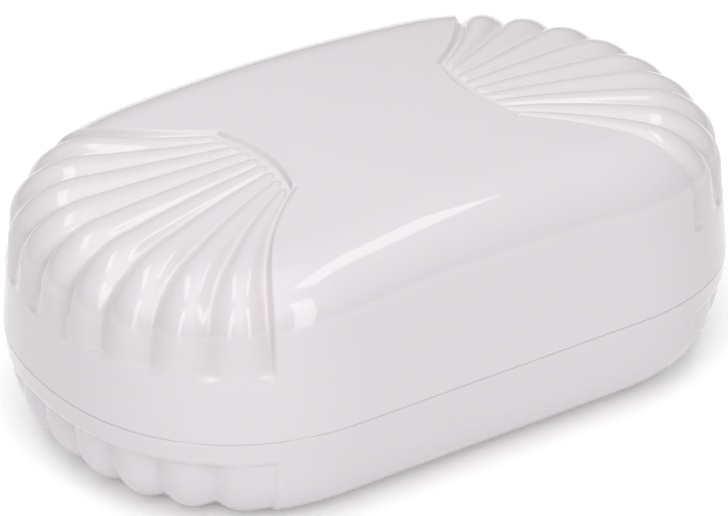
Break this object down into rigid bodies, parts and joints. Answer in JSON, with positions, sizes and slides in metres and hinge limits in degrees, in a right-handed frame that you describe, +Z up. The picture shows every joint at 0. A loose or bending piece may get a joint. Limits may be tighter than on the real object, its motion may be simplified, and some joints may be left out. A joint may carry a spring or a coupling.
{
  "type": "soap dish with lid",
  "caption": "Oval glossy white soap box: a domed lid with a fluted shell fan on each end lifts straight off a shallow fluted base that holds a bar of soap on ribs.",
  "frame": {"origin": "middle of the flat underside of the base", "axes": "+X along the length, +Y across the width, +Z up, the way the lid lifts off"},
  "size_m": [0.11, 0.0678, 0.041],
  "materials": {
    "white_plastic": "glossy moulded white polystyrene, very slightly milky"
  },
  "bodies": {
    "base": {"base": "white_plastic"},
    "lid": {"lid": "white_plastic"}
  },
  "joints": [
    {"name": "lid_lift", "type": "slide", "parent": "base", "child": "lid", "axis": [0, 0, 1], "range_m": [0, 0.06]}
  ]
}
